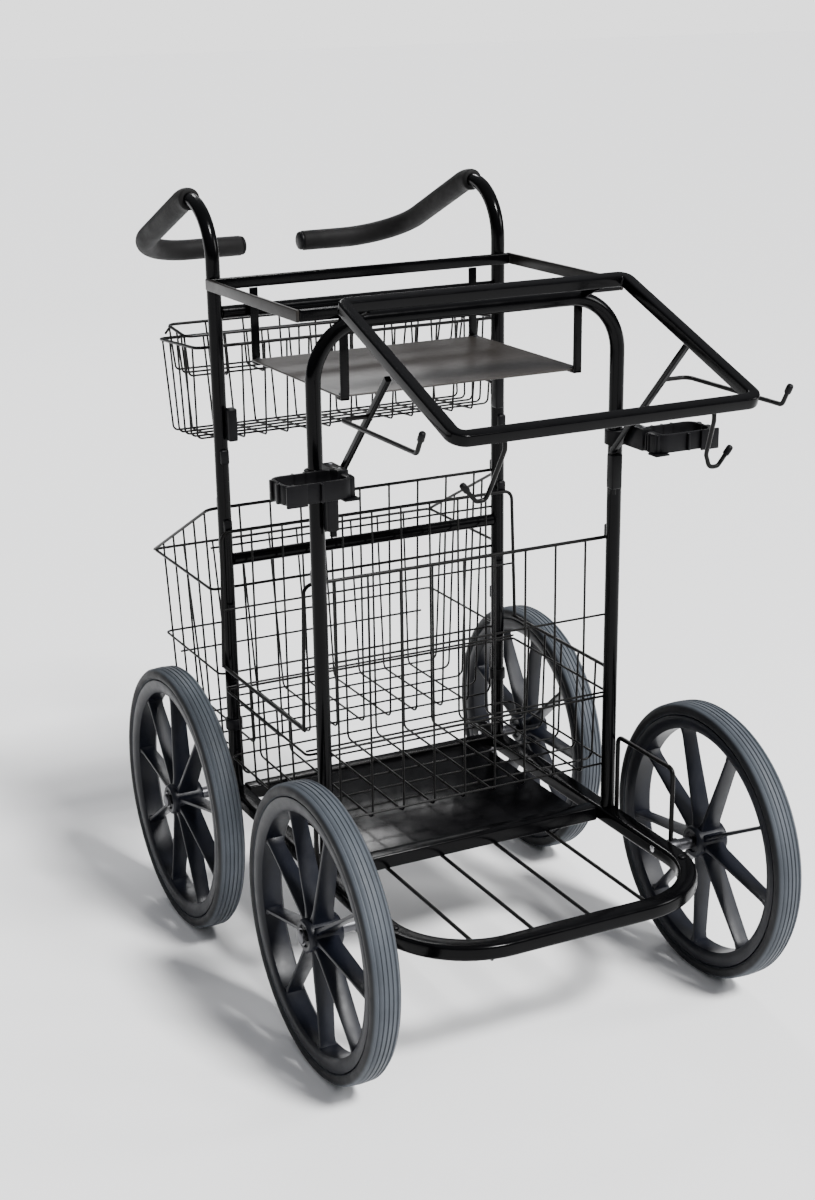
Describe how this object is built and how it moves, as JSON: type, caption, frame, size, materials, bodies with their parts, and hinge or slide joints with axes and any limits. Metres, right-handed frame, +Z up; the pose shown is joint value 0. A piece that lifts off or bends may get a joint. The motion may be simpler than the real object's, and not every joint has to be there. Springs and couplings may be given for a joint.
{
  "type": "housekeeping cart",
  "caption": "Four-wheeled tube-frame utility cart with wire baskets, a fold-up bag frame, an inner shelf, foam hand grips and side tool clamps.",
  "frame": {"origin": "on the floor under the middle of the bounding box", "axes": "+Z up, -Y towards the front (bag frame), +Y towards the rear (hand grips), X across the cart"},
  "size_m": [0.592, 0.9282, 0.9719],
  "materials": {
    "frame_paint": "gloss black powder coat",
    "wire_coating": "semi-gloss black coated wire",
    "sheet_paint": "semi-gloss dark brown-grey sheet",
    "foam": "matt closed-cell foam",
    "black_plastic": "moulded black plastic",
    "rim_plastic": "blue-black moulded plastic",
    "tyre_rubber": "grey non-marking rubber with ribs",
    "zinc_steel": "zinc-plated"
  },
  "bodies": {
    "cart": {"base_loop": "frame_paint", "base_front_bar": "frame_paint", "base_rear_bar": "frame_paint", "floor_plate": "frame_paint", "platform_rod_1": "wire_coating", "platform_rod_2": "wire_coating", "platform_rod_3": "wire_coating", "platform_rod_4": "wire_coating", "wheel_guard_left": "wire_coating", "wheel_guard_right": "wire_coating", "front_hoop": "frame_paint", "rear_upright_left": "frame_paint", "rear_upright_right": "frame_paint", "grip_left": "foam", "grip_right": "foam", "grip_cap_left": "black_plastic", "grip_cap_right": "black_plastic", "top_side_rail_left": "sheet_paint", "top_side_rail_right": "sheet_paint", "top_front_bar": "frame_paint", "top_rear_bar": "frame_paint", "rear_upper_tube": "frame_paint", "rear_lower_tube": "frame_paint", "shelf_hanger_front_left": "frame_paint", "shelf_hanger_front_right": "frame_paint", "shelf_hanger_rear_left": "frame_paint", "shelf_hanger_rear_right": "frame_paint", "shelf": "sheet_paint", "hinge_bracket_left": "frame_paint", "hinge_bracket_right": "frame_paint", "basket_support_left": "black_plastic", "basket_support_right": "black_plastic", "axle_front_left": "zinc_steel", "axle_front_right": "zinc_steel", "axle_rear_left": "zinc_steel", "axle_rear_right": "zinc_steel"},
    "wheel_front_left": {"tyre_front_left": "tyre_rubber", "rim_front_left": "rim_plastic"},
    "wheel_front_right": {"tyre_front_right": "tyre_rubber", "rim_front_right": "rim_plastic"},
    "wheel_rear_left": {"tyre_rear_left": "tyre_rubber", "rim_rear_left": "rim_plastic"},
    "wheel_rear_right": {"tyre_rear_right": "tyre_rubber", "rim_rear_right": "rim_plastic"},
    "bag_frame_assembly": {"bag_frame": "frame_paint", "strut_left": "frame_paint", "strut_right": "frame_paint", "hook_rod_left": "wire_coating", "hook_rod_right": "wire_coating", "j_hook_left": "wire_coating", "j_hook_right": "wire_coating"},
    "clamp_left": {"clamp_bracket_left": "black_plastic"},
    "jaw_left": {"clamp_jaw_left": "black_plastic"},
    "clamp_right": {"clamp_bracket_right": "black_plastic"},
    "jaw_right": {"clamp_jaw_right": "black_plastic"},
    "front_basket_body": {"front_basket": "wire_coating"},
    "rear_basket_body": {"rear_basket": "wire_coating"},
    "upper_basket_body": {"upper_basket": "wire_coating"},
    "tray_body": {"tray": "wire_coating"}
  },
  "joints": [
    {"name": "wheel_front_left_spin", "type": "hinge", "parent": "cart", "child": "wheel_front_left", "pos_m": [-0.268, -0.2775, 0.17732], "axis": [1, 0, 0], "continuous": true},
    {"name": "wheel_front_right_spin", "type": "hinge", "parent": "cart", "child": "wheel_front_right", "pos_m": [0.268, -0.2775, 0.17732], "axis": [1, 0, 0], "continuous": true},
    {"name": "wheel_rear_left_spin", "type": "hinge", "parent": "cart", "child": "wheel_rear_left", "pos_m": [-0.268, 0.167, 0.17732], "axis": [1, 0, 0], "continuous": true},
    {"name": "wheel_rear_right_spin", "type": "hinge", "parent": "cart", "child": "wheel_rear_right", "pos_m": [0.268, 0.167, 0.17732], "axis": [1, 0, 0], "continuous": true},
    {"name": "bag_frame_fold", "type": "hinge", "parent": "cart", "child": "bag_frame_assembly", "pos_m": [0, -0.1935, 0.879], "axis": [-1, 0, 0], "range_deg": [0, 100]},
    {"name": "clamp_left_swivel", "type": "hinge", "parent": "cart", "child": "clamp_left", "pos_m": [-0.201, -0.152, 0.681], "axis": [0, 0, -1], "range_deg": [0, 110]},
    {"name": "clamp_right_swivel", "type": "hinge", "parent": "cart", "child": "clamp_right", "pos_m": [0.201, -0.152, 0.681], "axis": [0, 0, 1], "range_deg": [0, 110]},
    {"name": "jaw_left_open", "type": "hinge", "parent": "clamp_left", "child": "jaw_left", "pos_m": [-0.283, -0.2255, 0.69], "axis": [0, 0, -1], "range_deg": [0, 95]},
    {"name": "jaw_right_open", "type": "hinge", "parent": "clamp_right", "child": "jaw_right", "pos_m": [0.283, -0.2255, 0.69], "axis": [0, 0, 1], "range_deg": [0, 95]},
    {"name": "front_basket_lift", "type": "slide", "parent": "cart", "child": "front_basket_body", "axis": [0, 0, 1], "range_m": [0, 0.11]},
    {"name": "rear_basket_lift", "type": "slide", "parent": "cart", "child": "rear_basket_body", "axis": [0, 0, 1], "range_m": [0, 0.07]},
    {"name": "upper_basket_lift", "type": "slide", "parent": "cart", "child": "upper_basket_body", "axis": [0, 0, 1], "range_m": [0, 0.055]},
    {"name": "tray_lift", "type": "slide", "parent": "upper_basket_body", "child": "tray_body", "axis": [0, 0, 1], "range_m": [0, 0.04]}
  ]
}
